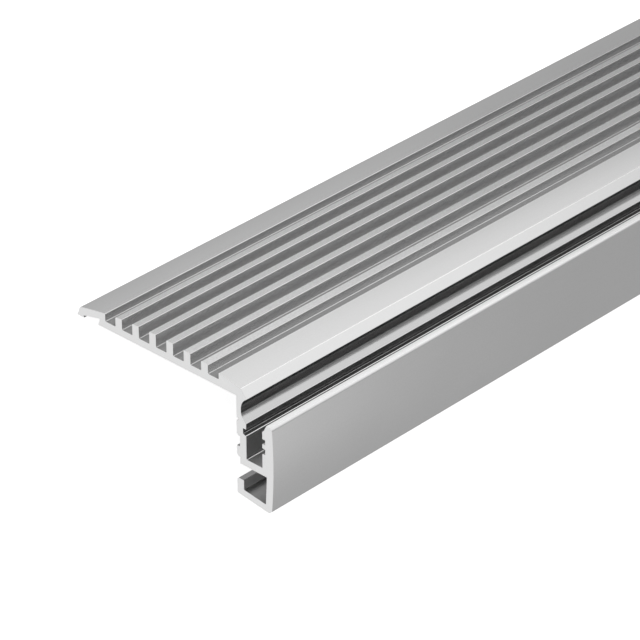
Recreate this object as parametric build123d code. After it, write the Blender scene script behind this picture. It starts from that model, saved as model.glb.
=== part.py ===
from build123d import *
import os
from math import atan2, cos, degrees, hypot, radians, sqrt, tan

# Stair edge profile: one aluminium extrusion with a grooved, crowned tread, an open channel for a
# strip of lights under its nose, and a second channel at the foot of its leg. Millimetres.
# The section is drawn with the tread level: x runs forward from the back face of the leg,
# z runs up from the underside of the tread.

# Stock
length = 1000.0

# Tread: the metal under the grooves, and the ends and the rise of the crowned top
plate = 2.0
nose_edge = 1.4
crown_rise = 2.9

# Grip grooves, counted back from the front one
groove_count = 7
groove_width = 3.4
groove_pitch = 5.56
front_land = 5.45
groove_root = 0.2
rib_round = 0.26

# Rear wing, which laps over the edge of the floor covering and bears on it with a narrow foot
wing_wall = 1.9
rear_land = 1.8
step_lean = 0.7
wing_reach = 4.5
foot_height = 0.55
foot_width = 2.65
foot_lean = 0.4
tip_flare = 0.6
tip_waist_height = 1.05
tip_lean = 0.4
tip_round = 1.0
waist_round = 1.0

# Nose, and the hollow reflector below it between an upper and a lower slope. A land of each slope
# stays straight beside its edge, and the rest is rounded.
nose_reach = 3.3
nose_lip_height = 0.25
nose_round = 0.35
lip_round = 0.12
neck = 1.45
nose_slope = 33.0
lip_land = 0.47
ledge_slope = 45.0
ledge_land = 1.27
ledge_drop = 6.3
ledge_round = 0.3

# Walls of the leg
back_wall = 2.05
front_wall = 3.0
web = 2.0

# Channel for the light strip, open at its top
channel_width = 5.0
channel_depth = 9.5
channel_back_root = 0.3
channel_front_root = 0.2
back_notch_drop = 1.5
back_notch_height = 1.45
back_notch_depth = 1.0
back_notch_slope = 0.35
back_notch_round = 0.35
front_wall_drop = 3.95
front_slope_width = 0.75
front_slope_height = 1.65
front_bevel_width = 0.55
front_bevel_height = 0.5
front_notch_drop = 1.95
front_notch_gap = 1.2
front_notch_heights = (1.25, 1.45)
front_notch_depth = 0.9

# Fascia, gently bulged between its upper and lower edges, under the rounded crest of its wall
crest_fall = 0.38
crest_bulge = 0.15
crest_round = 0.35
fascia_bulge = 0.48
fascia_inset = 0.1
fascia_toe_width = 0.95
fascia_toe_height = 0.8

# Channel at the foot of the leg, open to the back
foot_channel_height = 6.65
foot_channel_fall = 0.85
foot_channel_taper = 0.35
foot_channel_wall = 2.15
foot_floor = 1.9
lip_wall = 2.15
lip_height = 2.6
lip_bevel = 0.45

# Two pads that bear on the riser, from the upper one down, and the small groove above them
pad_proud = 1.0
pad_heights = (3.95, 2.85)
pad_gap = 2.7
pad_bevel_width = 0.55
pad_bevel_height = 0.45
back_groove_drop = 5.6
back_groove_upper = 0.55
back_groove_lower = 0.35
back_groove_depth = 0.75

# Small rounding of the other outer and inner corners
outer_round = 0.2
inner_round = 0.15

# Stations along x that the sizes give
groove_span = (groove_count - 1) * groove_pitch + groove_width
step_top = -front_land - groove_span - rear_land
step_bottom = step_top - step_lean
foot_front = step_bottom - wing_reach
foot_back = foot_front - foot_width
tip_waist = foot_back + tip_flare
tip_top = tip_waist + tip_lean
channel_back = pad_proud + back_wall
channel_front = channel_back + channel_width
fascia_top = channel_front + front_wall
fascia_bottom = fascia_top - fascia_inset
toe = fascia_bottom - fascia_toe_width
foot_channel_top = fascia_top + fascia_bulge - foot_channel_wall
foot_channel_bottom = foot_channel_top - foot_channel_taper

# Levels along z that the sizes give
crown_end = foot_height + wing_wall
channel_floor = -ledge_drop - channel_depth
channel_mouth = -front_wall_drop - front_slope_height - front_bevel_height
web_bottom = channel_floor - web
foot_back_level = web_bottom - foot_channel_height
foot_front_level = foot_back_level - foot_channel_fall
foot_slope = foot_channel_fall / (foot_channel_bottom - lip_wall)
heel_level = foot_back_level - foot_floor + foot_slope * lip_wall
toe_level = heel_level - foot_slope * toe
fascia_high = -front_wall_drop - crest_fall
fascia_low = toe_level + fascia_toe_height

# The crown is one arc over the chord between the nose and the tip of the wing
crown_chord = nose_edge - tip_top
crown_radius = (crown_chord**2 / 4 + crown_rise**2) / (2 * crown_rise)
crown_middle = (nose_edge + tip_top) / 2


def crown(x):
    """The point of the crowned top at the station x."""
    fall = crown_radius - sqrt(crown_radius**2 - (x - crown_middle) ** 2)
    return (x, crown_end + crown_rise - fall)


def bulged(x, z, end_x, end_z, bulge):
    """The middle of an arc from a point to an end, that stands out from their chord by the bulge."""
    chord = hypot(end_x - x, end_z - z)
    side = (z - end_z) / chord, (end_x - x) / chord
    return ((x + end_x) / 2 + bulge * side[0], (z + end_z) / 2 + bulge * side[1])


def wing_corners():
    """Up the tip of the wing to its rounded top."""
    return [
        (foot_front, 0, inner_round),
        (foot_back, 0, inner_round),
        (tip_waist, tip_waist_height, waist_round),
    ]


def crown_corners():
    """Forward over the crown: a land, a rib between each two grooves, and the front land."""
    corners = []
    start = (*crown(tip_top), tip_round)
    for groove in reversed(range(groove_count)):
        front = -front_land - groove * groove_pitch
        back = front - groove_width
        corners += [
            (*start, crown((start[0] + back) / 2)),
            (*crown(back), rib_round),
            (back, plate, groove_root),
            (front, plate, groove_root),
        ]
        start = (*crown(front), rib_round)
    corners += [
        (*start, crown((start[0] + nose_edge) / 2)),
        (*crown(nose_edge), nose_round),
    ]
    return corners


def reflector_corners():
    """Round the lip of the nose, into the hollow below it and out over the ledge."""
    upper = nose_lip_height - (nose_reach - neck) * tan(radians(nose_slope))
    lower = (channel_back - neck) * tan(radians(ledge_slope)) - ledge_drop
    upper_run = (nose_reach - neck) / cos(radians(nose_slope)) - lip_land
    lower_run = (channel_back - neck) / cos(radians(ledge_slope)) - ledge_land
    return [
        (nose_reach, nose_lip_height, lip_round),
        (neck, upper, upper_run * tan(radians(90 + nose_slope) / 2)),
        (neck, lower, lower_run * tan(radians(90 + ledge_slope) / 2)),
        (channel_back, -ledge_drop, ledge_round),
    ]


def back_wall_corners():
    """Down the back wall of the light channel, with its undercut, and over the floor."""
    top = -ledge_drop - back_notch_drop
    bottom = top - back_notch_height
    deep = channel_back - back_notch_depth
    return [
        (channel_back, top, inner_round),
        (deep, top, inner_round),
        (deep, bottom, inner_round),
        (channel_back, bottom - back_notch_slope, back_notch_round),
        (channel_back, channel_floor, channel_back_root),
        (channel_front, channel_floor, channel_front_root),
    ]


def front_wall_corners():
    """Up the front wall of the light channel, with its undercuts, and over its rounded crest."""
    corners = []
    top = channel_mouth - front_notch_drop
    deep = channel_front + front_notch_depth
    for height in front_notch_heights:
        bottom = top - height
        corners = [
            (channel_front, bottom, inner_round),
            (deep, bottom, inner_round),
            (deep, top, inner_round),
            (channel_front, top, inner_round),
        ] + corners
        top = bottom - front_notch_gap
    bevel = channel_front + front_bevel_width
    crest = bevel + front_slope_width
    middle = bulged(crest, -front_wall_drop, fascia_top, fascia_high, crest_bulge)
    return corners + [
        (channel_front, channel_mouth, outer_round),
        (bevel, channel_mouth + front_bevel_height, outer_round),
        (crest, -front_wall_drop, outer_round, middle),
    ]


def fascia_corners():
    """Down the bulged fascia and round the toe of the leg to its heel."""
    middle = bulged(fascia_top, fascia_high, fascia_bottom, fascia_low, fascia_bulge)
    return [
        (fascia_top, fascia_high, crest_round, middle),
        (fascia_bottom, fascia_low, outer_round),
        (toe, toe_level, outer_round),
        (0, heel_level, outer_round),
    ]


def foot_channel_corners():
    """Over the lip at the heel and round the inside of the foot channel to the web."""
    lip_top = foot_back_level + lip_height
    return [
        (0, lip_top - lip_bevel, inner_round),
        (lip_bevel, lip_top, inner_round),
        (lip_wall, lip_top, inner_round),
        (lip_wall, foot_back_level, inner_round),
        (foot_channel_bottom, foot_front_level, outer_round),
        (foot_channel_top, web_bottom, inner_round),
        (pad_proud, web_bottom, inner_round),
    ]


def back_corners():
    """Up the back of the leg: the pads, each with a bevelled foot, and the small groove."""
    corners = []
    top = -back_groove_drop - back_groove_upper - back_groove_lower
    for height in pad_heights:
        bottom = top - height
        corners = [
            (pad_proud, bottom, inner_round),
            (pad_bevel_width, bottom, inner_round),
            (0, bottom + pad_bevel_height, inner_round),
            (0, top, inner_round),
            (pad_proud, top, inner_round),
        ] + corners
        top = bottom - pad_gap
    return corners[:-1] + [
        (back_groove_depth, -back_groove_drop - back_groove_upper, inner_round),
        (0, -back_groove_drop, inner_round),
        (0, 0, inner_round),
        (step_bottom, 0, outer_round),
        (step_top, crown(step_top)[1] - wing_wall, outer_round),
        (foot_front - foot_lean, foot_height, inner_round),
    ]


def profile_section():
    """The closed outline through all the corners, each rounded by its own radius."""
    corners = (
        wing_corners()
        + crown_corners()
        + reflector_corners()
        + back_wall_corners()
        + front_wall_corners()
        + fascia_corners()
        + foot_channel_corners()
        + back_corners()
    )
    edges = []
    for corner, following in zip(corners, corners[1:] + corners[:1]):
        ends = corner[:2], following[:2]
        via = corner[3:]
        edges.append(ThreePointArc(ends[0], *via, ends[1]) if via else Line(*ends))
    section = make_face(edges)
    for size in sorted({corner[2] for corner in corners}):
        places = [corner[:2] for corner in corners if corner[2] == size]
        section = fillet([section.vertices().sort_by_distance(p)[0] for p in places], size)
    return section


# Unheld, the profile tips back until it lies on the foot of the wing and the heel of the leg
tip_back = degrees(atan2(-heel_level, -foot_back))

section = Plane.XZ * profile_section()
profile = extrude(section, amount=length)
profile = Rot(Y=-tip_back) * profile
box = profile.bounding_box()
profile = Pos(-box.center().X, -box.center().Y, -box.min.Z) * profile

os.makedirs("parts", exist_ok=True)
export_step(profile, "parts/stair_profile.step")
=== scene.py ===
from math import acos, atan2, cos, pi, radians, sqrt, tan

import bmesh
import bpy
from mathutils import Matrix, Vector


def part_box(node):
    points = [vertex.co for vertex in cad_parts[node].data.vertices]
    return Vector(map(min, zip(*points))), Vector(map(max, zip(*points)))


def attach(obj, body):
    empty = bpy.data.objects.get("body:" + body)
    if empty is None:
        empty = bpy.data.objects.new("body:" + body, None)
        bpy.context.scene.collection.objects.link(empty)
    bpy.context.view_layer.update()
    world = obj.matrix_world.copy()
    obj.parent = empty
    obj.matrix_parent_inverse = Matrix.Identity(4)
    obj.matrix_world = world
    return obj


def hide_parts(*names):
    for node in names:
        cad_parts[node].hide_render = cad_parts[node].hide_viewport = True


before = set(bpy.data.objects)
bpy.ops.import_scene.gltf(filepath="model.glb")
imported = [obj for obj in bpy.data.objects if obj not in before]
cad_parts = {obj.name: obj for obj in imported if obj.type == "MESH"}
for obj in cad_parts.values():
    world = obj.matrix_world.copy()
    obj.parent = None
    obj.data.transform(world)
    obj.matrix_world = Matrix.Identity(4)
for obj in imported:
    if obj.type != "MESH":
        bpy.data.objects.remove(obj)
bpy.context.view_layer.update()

# Crowned tread of the stair profile, one aluminium extrusion that is drawn here form by form.
# Its section is the opening of the die: corners in millimetres with the tread level, x forward
# from the back of the leg and z up from the underside of the tread, each corner with its rounding.
PLATE = 2.0
NOSE_EDGE = 1.4
CROWN_RISE = 2.9
GROOVES = 7
GROOVE_WIDTH = 3.4
GROOVE_PITCH = 5.56
FRONT_LAND = 5.45
REAR_LAND = 1.8
GROOVE_ROOT = 0.2
RIB_ROUND = 0.26
LAND_STEPS = 6
FACET_TURN = radians(9)
FINE_RADIUS = 3.0
LEAST_FACETS = 3

WING_WALL = 1.9
STEP_LEAN = 0.7
WING_REACH = 4.5
FOOT_HEIGHT = 0.55
FOOT_WIDTH = 2.65
FOOT_LEAN = 0.4
TIP_FLARE = 0.6
TIP_WAIST_HEIGHT = 1.05
TIP_LEAN = 0.4
TIP_ROUND = 1.0
WAIST_ROUND = 1.0
OUTER_ROUND = 0.2
INNER_ROUND = 0.15

groove_backs = [-FRONT_LAND - GROOVE_WIDTH - k * GROOVE_PITCH for k in reversed(range(GROOVES))]
step_top = groove_backs[0] - REAR_LAND
step_bottom = step_top - STEP_LEAN
foot_front = step_bottom - WING_REACH
foot_back = foot_front - FOOT_WIDTH
tip_waist = foot_back + TIP_FLARE
tip_top = tip_waist + TIP_LEAN
crown_end = FOOT_HEIGHT + WING_WALL
crown_chord = NOSE_EDGE - tip_top
crown_radius = (crown_chord**2 / 4 + CROWN_RISE**2) / (2 * CROWN_RISE)
crown_middle = (NOSE_EDGE + tip_top) / 2


class Die:
    """The closed line of the section, drawn corner by corner."""

    def __init__(self):
        self.mesh = bmesh.new()
        self.corners = []

    def to(self, x, z, rounding=0.0):
        """The next corner, with the radius of its rounding."""
        self.corners.append((self.mesh.verts.new((x, 0.0, z)), rounding))

    def over(self, start, end, height, steps):
        """Smooth run along the curve height(x), without its two ends."""
        for k in range(1, steps):
            x = start + (end - start) * k / steps
            self.to(x, height(x))

    def bulged(self, start, end, bulge, steps):
        """Smooth run that stands out from the chord by the bulge, without its two ends."""
        chord = Vector(end) - Vector(start)
        side = Vector((-chord.y, chord.x)).normalized()
        for k in range(1, steps):
            share = k / steps
            point = Vector(start) + chord * share + side * (4 * bulge * share * (1 - share))
            self.to(point.x, point.y)

    def closed(self):
        """The section as one face, with every corner rounded, a large one in finer facets."""
        self.mesh.faces.new([vert for vert, rounding in self.corners])
        ring = [vert.co.copy() for vert, rounding in self.corners]
        for k, (vert, rounding) in enumerate(self.corners):
            if rounding:
                ahead = (ring[(k + 1) % len(ring)] - ring[k]).normalized()
                behind = (ring[k - 1] - ring[k]).normalized()
                opening = acos(max(-1.0, min(1.0, ahead.dot(behind))))
                facets = (pi - opening) / FACET_TURN * (1 + rounding / FINE_RADIUS)
                bmesh.ops.bevel(
                    self.mesh,
                    geom=[vert],
                    offset=rounding / tan(opening / 2),
                    segments=max(LEAST_FACETS, round(facets)),
                    profile=0.5,
                    affect="VERTICES",
                    material=-1,
                )
        return self.mesh


def crown(x):
    """Height of the crowned top at the station x."""
    fall = crown_radius - sqrt(crown_radius**2 - (x - crown_middle) ** 2)
    return crown_end + CROWN_RISE - fall


die = Die()
die.to(foot_front, 0, INNER_ROUND)
die.to(foot_back, 0, INNER_ROUND)
die.to(tip_waist, TIP_WAIST_HEIGHT, WAIST_ROUND)
die.to(tip_top, crown(tip_top), TIP_ROUND)
die.over(tip_top + TIP_ROUND, groove_backs[0], crown, LAND_STEPS)
for back in groove_backs:
    front = back + GROOVE_WIDTH
    die.to(back, crown(back), RIB_ROUND)
    die.to(back, PLATE, GROOVE_ROOT)
    die.to(front, PLATE, GROOVE_ROOT)
    die.to(front, crown(front), RIB_ROUND)
die.over(-FRONT_LAND, NOSE_EDGE, crown, LAND_STEPS)

# Nose of the tread and the hollow below it, which throws the light of the strip down the riser.
# Part of the same extrusion: a blunt front edge, then a slope, a round and a second slope that
# ends in the ledge over the light channel. A land of each slope stays straight.
NOSE_REACH = 3.3
NOSE_LIP_HEIGHT = 0.25
NOSE_ROUND = 0.35
LIP_ROUND = 0.12
NECK = 1.45
NOSE_SLOPE = radians(33)
LIP_LAND = 0.47
LEDGE_SLOPE = radians(45)
LEDGE_LAND = 1.27
LEDGE_DROP = 6.3
LEDGE_ROUND = 0.3
PAD_PROUD = 1.0
BACK_WALL = 2.05

channel_back = PAD_PROUD + BACK_WALL
nose_run = (NOSE_REACH - NECK) / cos(NOSE_SLOPE) - LIP_LAND
ledge_run = (channel_back - NECK) / cos(LEDGE_SLOPE) - LEDGE_LAND
die.to(NOSE_EDGE, crown(NOSE_EDGE), NOSE_ROUND)
die.to(NOSE_REACH, NOSE_LIP_HEIGHT, LIP_ROUND)
die.to(NECK, NOSE_LIP_HEIGHT - (NOSE_REACH - NECK) * tan(NOSE_SLOPE),
       nose_run * tan((pi / 2 + NOSE_SLOPE) / 2))
die.to(NECK, (channel_back - NECK) * tan(LEDGE_SLOPE) - LEDGE_DROP,
       ledge_run * tan((pi / 2 + LEDGE_SLOPE) / 2))
die.to(channel_back, -LEDGE_DROP, LEDGE_ROUND)

# Channel for the light strip, open at its top below the nose. Its walls have undercuts, one at
# the back and two in front, that the strip's holder and its cover snap into.
CHANNEL_WIDTH = 5.0
CHANNEL_DEPTH = 9.5
CHANNEL_BACK_ROOT = 0.3
CHANNEL_FRONT_ROOT = 0.2
BACK_NOTCH_DROP = 1.5
BACK_NOTCH_HEIGHT = 1.45
BACK_NOTCH_DEPTH = 1.0
BACK_NOTCH_SLOPE = 0.35
BACK_NOTCH_ROUND = 0.35
FRONT_WALL_DROP = 3.95
FRONT_SLOPE_WIDTH = 0.75
FRONT_SLOPE_HEIGHT = 1.65
FRONT_BEVEL_WIDTH = 0.55
FRONT_BEVEL_HEIGHT = 0.5
FRONT_NOTCH_DROP = 1.95
FRONT_NOTCH_GAP = 1.2
FRONT_NOTCH_HEIGHTS = (1.25, 1.45)
FRONT_NOTCH_DEPTH = 0.9

channel_front = channel_back + CHANNEL_WIDTH
channel_floor = -LEDGE_DROP - CHANNEL_DEPTH
channel_mouth = -FRONT_WALL_DROP - FRONT_SLOPE_HEIGHT - FRONT_BEVEL_HEIGHT
notch_top = -LEDGE_DROP - BACK_NOTCH_DROP
notch_bottom = notch_top - BACK_NOTCH_HEIGHT
upper_notch = channel_mouth - FRONT_NOTCH_DROP
lower_notch = upper_notch - FRONT_NOTCH_HEIGHTS[0] - FRONT_NOTCH_GAP
die.to(channel_back, notch_top, INNER_ROUND)
die.to(channel_back - BACK_NOTCH_DEPTH, notch_top, INNER_ROUND)
die.to(channel_back - BACK_NOTCH_DEPTH, notch_bottom, INNER_ROUND)
die.to(channel_back, notch_bottom - BACK_NOTCH_SLOPE, BACK_NOTCH_ROUND)
die.to(channel_back, channel_floor, CHANNEL_BACK_ROOT)
die.to(channel_front, channel_floor, CHANNEL_FRONT_ROOT)
for top, height in ((lower_notch, FRONT_NOTCH_HEIGHTS[1]), (upper_notch, FRONT_NOTCH_HEIGHTS[0])):
    die.to(channel_front, top - height, INNER_ROUND)
    die.to(channel_front + FRONT_NOTCH_DEPTH, top - height, INNER_ROUND)
    die.to(channel_front + FRONT_NOTCH_DEPTH, top, INNER_ROUND)
    die.to(channel_front, top, INNER_ROUND)

# Fascia, the gently bulged front of the leg, between a crest and a bevelled toe. The crest frames
# the mouth of the light channel and rounds over softly to the front.
FRONT_WALL = 3.0
FASCIA_BULGE = 0.48
FASCIA_INSET = 0.1
CREST_FALL = 0.38
CREST_BULGE = 0.05
CREST_ROUND = 1.0
CREST_STEPS = 2
FASCIA_TOE_WIDTH = 0.95
FASCIA_TOE_HEIGHT = 0.8
FASCIA_STEPS = 16
WEB = 2.0
FOOT_CHANNEL_HEIGHT = 6.65
FOOT_CHANNEL_FALL = 0.85
FOOT_CHANNEL_TAPER = 0.35
FOOT_CHANNEL_WALL = 2.15
FOOT_FLOOR = 1.9
LIP_WALL = 2.15

fascia_top = channel_front + FRONT_WALL
fascia_bottom = fascia_top - FASCIA_INSET
toe = fascia_bottom - FASCIA_TOE_WIDTH
web_bottom = channel_floor - WEB
foot_back_level = web_bottom - FOOT_CHANNEL_HEIGHT
foot_front_level = foot_back_level - FOOT_CHANNEL_FALL
hook_top = fascia_top + FASCIA_BULGE - FOOT_CHANNEL_WALL
hook_bottom = hook_top - FOOT_CHANNEL_TAPER
foot_slope = FOOT_CHANNEL_FALL / (hook_bottom - LIP_WALL)
heel_level = foot_back_level - FOOT_FLOOR + foot_slope * LIP_WALL
toe_level = heel_level - foot_slope * toe
fascia_high = -FRONT_WALL_DROP - CREST_FALL
fascia_low = toe_level + FASCIA_TOE_HEIGHT
bevel_foot = channel_front + FRONT_BEVEL_WIDTH
crest = bevel_foot + FRONT_SLOPE_WIDTH
die.to(channel_front, channel_mouth, OUTER_ROUND)
die.to(bevel_foot, channel_mouth + FRONT_BEVEL_HEIGHT, OUTER_ROUND)
die.to(crest, -FRONT_WALL_DROP, OUTER_ROUND)
die.bulged((crest, -FRONT_WALL_DROP), (fascia_top, fascia_high), CREST_BULGE, CREST_STEPS)
die.to(fascia_top, fascia_high, CREST_ROUND)
die.bulged((fascia_top, fascia_high), (fascia_bottom, fascia_low), FASCIA_BULGE, FASCIA_STEPS)
die.to(fascia_bottom, fascia_low, OUTER_ROUND)

# Foot channel at the lower end of the leg, open to the back. It takes the clip or the joint
# tongue that lines two lengths up, behind a lip at the heel.
LIP_HEIGHT = 2.6
LIP_BEVEL = 0.45

lip_top = foot_back_level + LIP_HEIGHT
die.to(toe, toe_level, OUTER_ROUND)
die.to(0, heel_level, OUTER_ROUND)
die.to(0, lip_top - LIP_BEVEL, INNER_ROUND)
die.to(LIP_BEVEL, lip_top, INNER_ROUND)
die.to(LIP_WALL, lip_top, INNER_ROUND)
die.to(LIP_WALL, foot_back_level, INNER_ROUND)
die.to(hook_bottom, foot_front_level, OUTER_ROUND)
die.to(hook_top, web_bottom, INNER_ROUND)
die.to(PAD_PROUD, web_bottom, INNER_ROUND)

# Back of the leg: two raised pads that bear on the riser, each with a bevelled foot, and a small
# groove above them. The flat underside of the tread closes the line of the die.
PAD_HEIGHTS = (3.95, 2.85)
PAD_GAP = 2.7
PAD_BEVEL_WIDTH = 0.55
PAD_BEVEL_HEIGHT = 0.45
BACK_GROOVE_DROP = 5.6
BACK_GROOVE_UPPER = 0.55
BACK_GROOVE_LOWER = 0.35
BACK_GROOVE_DEPTH = 0.75

pad_top = -BACK_GROOVE_DROP - BACK_GROOVE_UPPER - BACK_GROOVE_LOWER
low_pad_top = pad_top - PAD_HEIGHTS[0] - PAD_GAP
for top, height in ((low_pad_top, PAD_HEIGHTS[1]), (pad_top, PAD_HEIGHTS[0])):
    die.to(PAD_PROUD, top - height, INNER_ROUND)
    die.to(PAD_BEVEL_WIDTH, top - height, INNER_ROUND)
    die.to(0, top - height + PAD_BEVEL_HEIGHT, INNER_ROUND)
    die.to(0, top, INNER_ROUND)
    if top == low_pad_top:
        die.to(PAD_PROUD, top, INNER_ROUND)
die.to(BACK_GROOVE_DEPTH, -BACK_GROOVE_DROP - BACK_GROOVE_UPPER, INNER_ROUND)
die.to(0, -BACK_GROOVE_DROP, INNER_ROUND)
die.to(0, 0, INNER_ROUND)
die.to(step_bottom, 0, OUTER_ROUND)
die.to(step_top, crown(step_top) - WING_WALL, OUTER_ROUND)
die.to(foot_front - FOOT_LEAN, FOOT_HEIGHT, INNER_ROUND)

# The extruded bar: the section pressed out along its length, sawn square at both ends, lightly
# deburred, and laid down as it rests unheld, tipped back on the foot of its wing and its heel.
LENGTH = 1000.0
DEBURR = 0.06
DEBURR_FACETS = 2
MILLIMETRE = 0.001
FACING = 0.9

bar = die.closed()
tip_back = atan2(-heel_level, -foot_back)
section = bar.faces[:]
pressed = bmesh.ops.extrude_face_region(bar, geom=section)
moved = [item for item in pressed["geom"] if isinstance(item, bmesh.types.BMVert)]
bmesh.ops.translate(bar, verts=moved, vec=(0, LENGTH, 0))
bmesh.ops.recalc_face_normals(bar, faces=bar.faces)
ends = [face for face in bar.faces if abs(face.normal.y) > FACING]
sawn_edges = list({edge for face in ends for edge in face.edges})
bmesh.ops.bevel(
    bar,
    geom=sawn_edges,
    offset=DEBURR,
    segments=DEBURR_FACETS,
    profile=0.5,
    affect="EDGES",
    material=-1,
)
node_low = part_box("stair_profile")[0]
upright = Matrix.Rotation(-tip_back, 4, "Y") @ Matrix.Scale(MILLIMETRE, 4)
tilted = [upright @ vert.co for vert in bar.verts]
low_x = min(point.x for point in tilted)
low_z = min(point.z for point in tilted)
placing = Matrix.Translation((node_low.x - low_x, node_low.y, node_low.z - low_z)) @ upright
bmesh.ops.transform(bar, matrix=placing, verts=bar.verts)

# Finishes of the bar. The sawn ends are bare metal, and the narrow roundings are smoother than the
# faces beside them. The satin faces and the ribs, with their stronger grain, keep the metal's own
# shade; the other forms have light and shade painted into the shade of their metal: painted shade
# in the groove floors, the hollow below the nose, the light channel, its undercut and the
# roundings among the grooves and in the undercut, painted light on the groove walls and in the
# foot channel, and a painted highlight on the crest and the other narrow roundings. A row gives
# the name of a finish, the shade of its metal, its roughness and how strongly its grain shows.
FINISHES_AND_PAINTED_LIGHT = (
    ("satin_anodised", 0.60, 0.30, 0.10),
    ("sawn_end", 0.87, 0.45, 0.05),
    # Groove floors: painted shade, far darker than the satin faces.
    ("groove_floor_painted_shade", 0.21, 0.26, 0.06),
    # Groove walls: painted light, brighter than the satin faces.
    ("groove_wall_painted_light", 0.92, 0.26, 0.06),
    ("rib_anodised", 0.62, 0.30, 0.55),
    # Hollow below the nose and the light channel: painted shade, darker than the satin faces.
    ("reflector_painted_shade", 0.43, 0.18, 0.06),
    ("light_channel_painted_shade", 0.37, 0.22, 0.06),
    # Undercut of the light channel: painted shade.
    ("undercut_painted_shade", 0.38, 0.26, 0.06),
    # Foot channel: painted light, brighter than the satin faces.
    ("foot_channel_painted_light", 0.70, 0.30, 0.06),
    # Crest: painted highlight, brighter than the satin faces.
    ("crest_painted_highlight", 0.72, 0.30, 0.06),
    # Roundings among the grooves and in the undercut: painted shade, and smoother.
    ("edges_painted_shade", 0.50, 0.18, 0.04),
    # The other narrow roundings: painted highlight, and smoother.
    ("edges_painted_highlight", 0.66, 0.18, 0.04),
)
EDGE_FACET = 0.06 * MILLIMETRE
SLACK = 0.01
CREASE = radians(25)
FULL_WEIGHT = 100
NOISE_DETAIL = 2.0
MIDDLE = 0.5
SHADE_RANGE = 0.5
GRAIN_SCALE = 3000.0
LINE_SCALE = 2600.0
LINE_STRETCH = 0.012
LINE_SHADE = 0.03
CLOUD_SCALE = 60.0
CLOUD_SHADE = 0.03
CLOUD_ROUGHNESS = 0.04

level = placing.inverted()
finish_or_painted_light_names = [row[0] for row in FINISHES_AND_PAINTED_LIGHT]
undercut_front = channel_back - BACK_NOTCH_ROUND
undercut_foot = notch_bottom - BACK_NOTCH_SLOPE


def finish_or_painted_light_of(face):
    """Name of a face's finish or of its painted light and shade, told by where it lies in the
    level section and where it faces.
    """
    middle = level @ face.calc_center_bounds()
    facing = (level.to_3x3() @ face.normal).normalized()
    narrow = min(edge.calc_length() for edge in face.edges) < EDGE_FACET
    if abs(facing.y) > FACING:
        return "sawn_end"
    # The crest gets a painted highlight.
    if middle.x > crest and fascia_high < middle.z < -FRONT_WALL_DROP + CREST_BULGE:
        return "crest_painted_highlight"
    among_grooves = groove_backs[0] - RIB_ROUND < middle.x < RIB_ROUND - FRONT_LAND
    in_grooves = among_grooves and middle.z > PLATE / 2
    behind_wall = PAD_PROUD < middle.x < undercut_front
    in_undercut = behind_wall and undercut_foot < middle.z < notch_top + SLACK
    # Narrow roundings: painted shade among the grooves and in the undercut, painted highlight
    # elsewhere.
    if narrow and abs(facing.y) < 1 - FACING:
        return "edges_painted_shade" if in_grooves or in_undercut else "edges_painted_highlight"
    # The undercut gets painted shade.
    if in_undercut:
        return "undercut_painted_shade"
    if in_grooves:
        # Groove floors get painted shade.
        if middle.z < PLATE + SLACK:
            return "groove_floor_painted_shade"
        # Groove walls get painted light; the ribs keep their own shade.
        return "groove_wall_painted_light" if abs(facing.x) > FACING else "rib_anodised"
    # The hollow below the nose and the light channel get painted shade.
    if PAD_PROUD < middle.x < channel_front and notch_bottom < middle.z < NOSE_LIP_HEIGHT:
        return "reflector_painted_shade" if middle.z > -LEDGE_DROP else "light_channel_painted_shade"
    # The foot channel gets painted light.
    if -SLACK < middle.x < hook_top + SLACK and foot_front_level < middle.z < web_bottom + SLACK:
        return "foot_channel_painted_light"
    return "satin_anodised"


for face in bar.faces:
    face.smooth = True
    face.material_index = finish_or_painted_light_names.index(finish_or_painted_light_of(face))
for edge in bar.edges:
    edge.smooth = len(edge.link_faces) == 2 and edge.calc_face_angle() < CREASE
shape = bpy.data.meshes.new("stair_profile_bar")
bar.to_mesh(shape)
bar.free()
profile = bpy.data.objects.new("extruded_bar", shape)
bpy.context.scene.collection.objects.link(profile)
weighted = profile.modifiers.new("flat faces stay flat", "WEIGHTED_NORMAL")
weighted.keep_sharp = True
weighted.weight = FULL_WEIGHT


class Socket:
    """A shader value, so that a formula on it adds its Math nodes."""

    def __init__(self, shading, source):
        self.shading = shading
        self.source = source

    def worked(self, operation, first, second):
        inputs = {0: first, 1: second}
        return self.shading.add("ShaderNodeMath", {"operation": operation}, inputs)["Value"]

    def __add__(self, other):
        return self.worked("ADD", self, other)

    __radd__ = __add__

    def __sub__(self, other):
        return self.worked("SUBTRACT", self, other)

    def __rsub__(self, other):
        return self.worked("SUBTRACT", other, self)

    def __mul__(self, other):
        return self.worked("MULTIPLY", self, other)

    __rmul__ = __mul__


class Shading:
    """The nodes of one material or of the light tent."""

    def __init__(self, owner, shader):
        owner.use_nodes = True
        self.tree = owner.node_tree
        self.shader = self.tree.nodes[shader]

    def add(self, kind, settings, inputs):
        """Adds a node: its settings first, then the values or links of its sockets."""
        node = self.tree.nodes.new(kind)
        for name, value in settings.items():
            setattr(node, name, value)
        for name, value in inputs.items():
            self.put(node, name, value)
        return {socket.name: Socket(self, socket) for socket in node.outputs if socket.enabled}

    def put(self, node, name, value):
        """Sets a socket of a node to a value, or links it to another socket."""
        if isinstance(value, Socket):
            self.tree.links.new(value.source, node.inputs[name])
        else:
            node.inputs[name].default_value = value

    def shade(self, name, value):
        """Sets or links a socket of the shader itself."""
        self.put(self.shader, name, value)

    def noise(self, place, scale):
        """Noise about zero, in features of the given number to the metre."""
        inputs = {"Vector": place, "Scale": scale, "Detail": NOISE_DETAIL}
        return self.add("ShaderNodeTexNoise", {}, inputs)["Fac"] - MIDDLE


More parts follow.
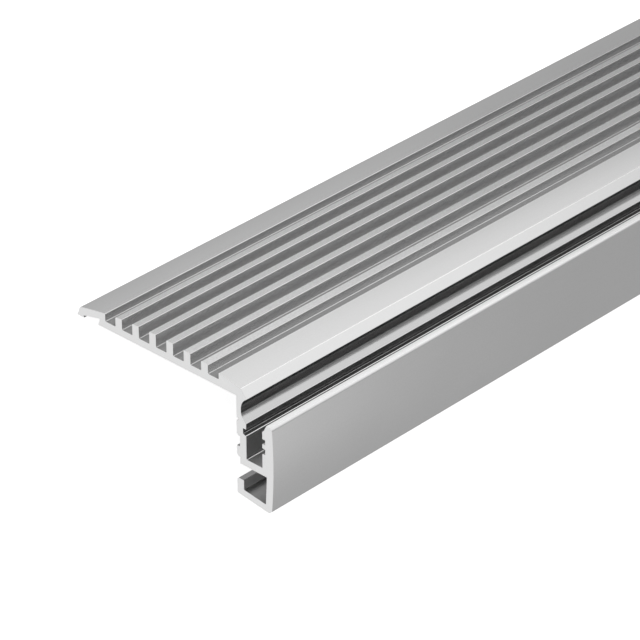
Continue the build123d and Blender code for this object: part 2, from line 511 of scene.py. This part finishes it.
def aluminium(name, shade, roughness, grain):
    """Aluminium with a fine etched grain over faint lines that the die drew along the bar."""
    material = bpy.data.materials.new(name)
    finish = Shading(material, "Principled BSDF")
    spot = finish.add("ShaderNodeTexCoord", {}, {})["Object"]
    stretch = {"Vector": spot, "Scale": (1.0, LINE_STRETCH, 1.0)}
    along = finish.add("ShaderNodeMapping", {}, stretch)["Vector"]
    specks = finish.noise(spot, GRAIN_SCALE)
    lines = finish.noise(along, LINE_SCALE)
    clouds = finish.noise(spot, CLOUD_SCALE)
    tone = MIDDLE + specks * grain + lines * LINE_SHADE + clouds * CLOUD_SHADE
    dark = ((1 - SHADE_RANGE) * shade,) * 3 + (1.0,)
    light = ((1 + SHADE_RANGE) * shade,) * 3 + (1.0,)
    mixed = {"Factor": tone, "A": dark, "B": light}
    finish.shade("Base Color", finish.add("ShaderNodeMix", {"data_type": "RGBA"}, mixed)["Result"])
    finish.shade("Roughness", roughness + clouds * CLOUD_ROUGHNESS)
    finish.shade("Metallic", 1.0)
    return material


for row in FINISHES_AND_PAINTED_LIGHT:
    shape.materials.append(aluminium(*row))
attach(profile, "root")
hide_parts("stair_profile")

# The floor is a plain sheet of matt white card, far wider than the bar. It glows, so that it
# stays white in the picture, and the metal mirrors the light tent instead of it.
FLOOR_SIZE = 40.0
CARD_SHADE = 0.93
CARD_ROUGHNESS = 0.9
CARD_SHINE = 0.1
CARD_GLOW = 0.7
WHITE = (1.0, 1.0, 1.0, 1.0)

card = bmesh.new()
bmesh.ops.create_grid(card, x_segments=1, y_segments=1, size=FLOOR_SIZE / 2)
card_mesh = bpy.data.meshes.new("floor_card")
card.to_mesh(card_mesh)
card.free()
floor = bpy.data.objects.new("floor", card_mesh)
bpy.context.scene.collection.objects.link(floor)
matt_card = bpy.data.materials.new("matt_white_card")
matt = Shading(matt_card, "Principled BSDF")
matt.shade("Base Color", (CARD_SHADE,) * 3 + (1.0,))
matt.shade("Roughness", CARD_ROUGHNESS)
matt.shade("Specular IOR Level", CARD_SHINE)
matt.shade("Emission Color", WHITE)
matt.shade("Emission Strength", CARD_GLOW)
card_mesh.materials.append(matt_card)
floor.visible_glossy = False

# Soft studio light: a plain white tent, brighter on the side of the bar's near end, and five soft
# boxes round and above that end, whose shine runs along the bar.
TENT = 0.71
TENT_NEARER = 0.26
NEAR_END = Vector((0.0, -0.5, 0.02))

tent = bpy.data.worlds.new("light_tent")
bpy.context.scene.world = tent
cloth = Shading(tent, "Background")
direction = cloth.add("ShaderNodeTexCoord", {}, {})["Generated"]
part = cloth.add("ShaderNodeSeparateXYZ", {}, {"Vector": direction})
cloth.shade("Strength", TENT - part["Y"] * TENT_NEARER)
cloth.shade("Color", WHITE)


def soft_box(name, spot, width, height, glow):
    """A soft box that stands at the spot and faces the bar's near end, its width level."""
    box = bpy.data.lights.new(name, "AREA")
    box.shape = "RECTANGLE"
    box.size = width
    box.size_y = height
    box.energy = glow * pi * width * height
    holder = bpy.data.objects.new(name, box)
    bpy.context.scene.collection.objects.link(holder)
    facing = (Vector(spot) - NEAR_END).to_track_quat("Z", "Y")
    holder.matrix_world = Matrix.Translation(spot) @ facing.to_matrix().to_4x4()
    holder.visible_camera = False


soft_box("soft_box_left", (-0.51, -0.32, 0.10), width=0.55, height=0.3, glow=0.25)
soft_box("soft_box_left_high", (-0.41, -0.12, 0.41), width=0.6, height=0.3, glow=0.78)
soft_box("soft_box_middle", (-0.10, -0.12, 0.54), width=0.4, height=0.3, glow=0.33)
soft_box("soft_box_overhead", (0.21, -0.07, 0.52), width=0.6, height=0.35, glow=0.88)
soft_box("soft_box_right", (0.50, -0.36, 0.02), width=0.4, height=0.24, glow=0.50)
bpy.context.scene.view_settings.view_transform = "Standard"

# The camera looks down along the bar from beyond its near end, through a long lens. It is upright
# to the level tread, and so it is rolled against the floor. It stands back from the near end by
# STAND: to its right, up and back, in millimetres.
LENS = 202.36
SENSOR = 36.0
CLIP = (0.01, 50.0)
HEADING = radians(43.214)
PITCH = radians(31.127)
STAND = (18.844, 16.966, 807.36)

camera = bpy.data.cameras.new("camera")
camera.lens = LENS
camera.sensor_width = SENSOR
camera.clip_start, camera.clip_end = CLIP
viewer = bpy.data.objects.new("camera", camera)
bpy.context.scene.collection.objects.link(viewer)
aim = Matrix.Rotation(HEADING, 4, "Z") @ Matrix.Rotation(pi / 2 - PITCH, 4, "X")
spot = placing @ (aim @ Vector(STAND))
viewer.matrix_world = Matrix.Translation(spot) @ Matrix.Rotation(-tip_back, 4, "Y") @ aim
bpy.context.scene.camera = viewer
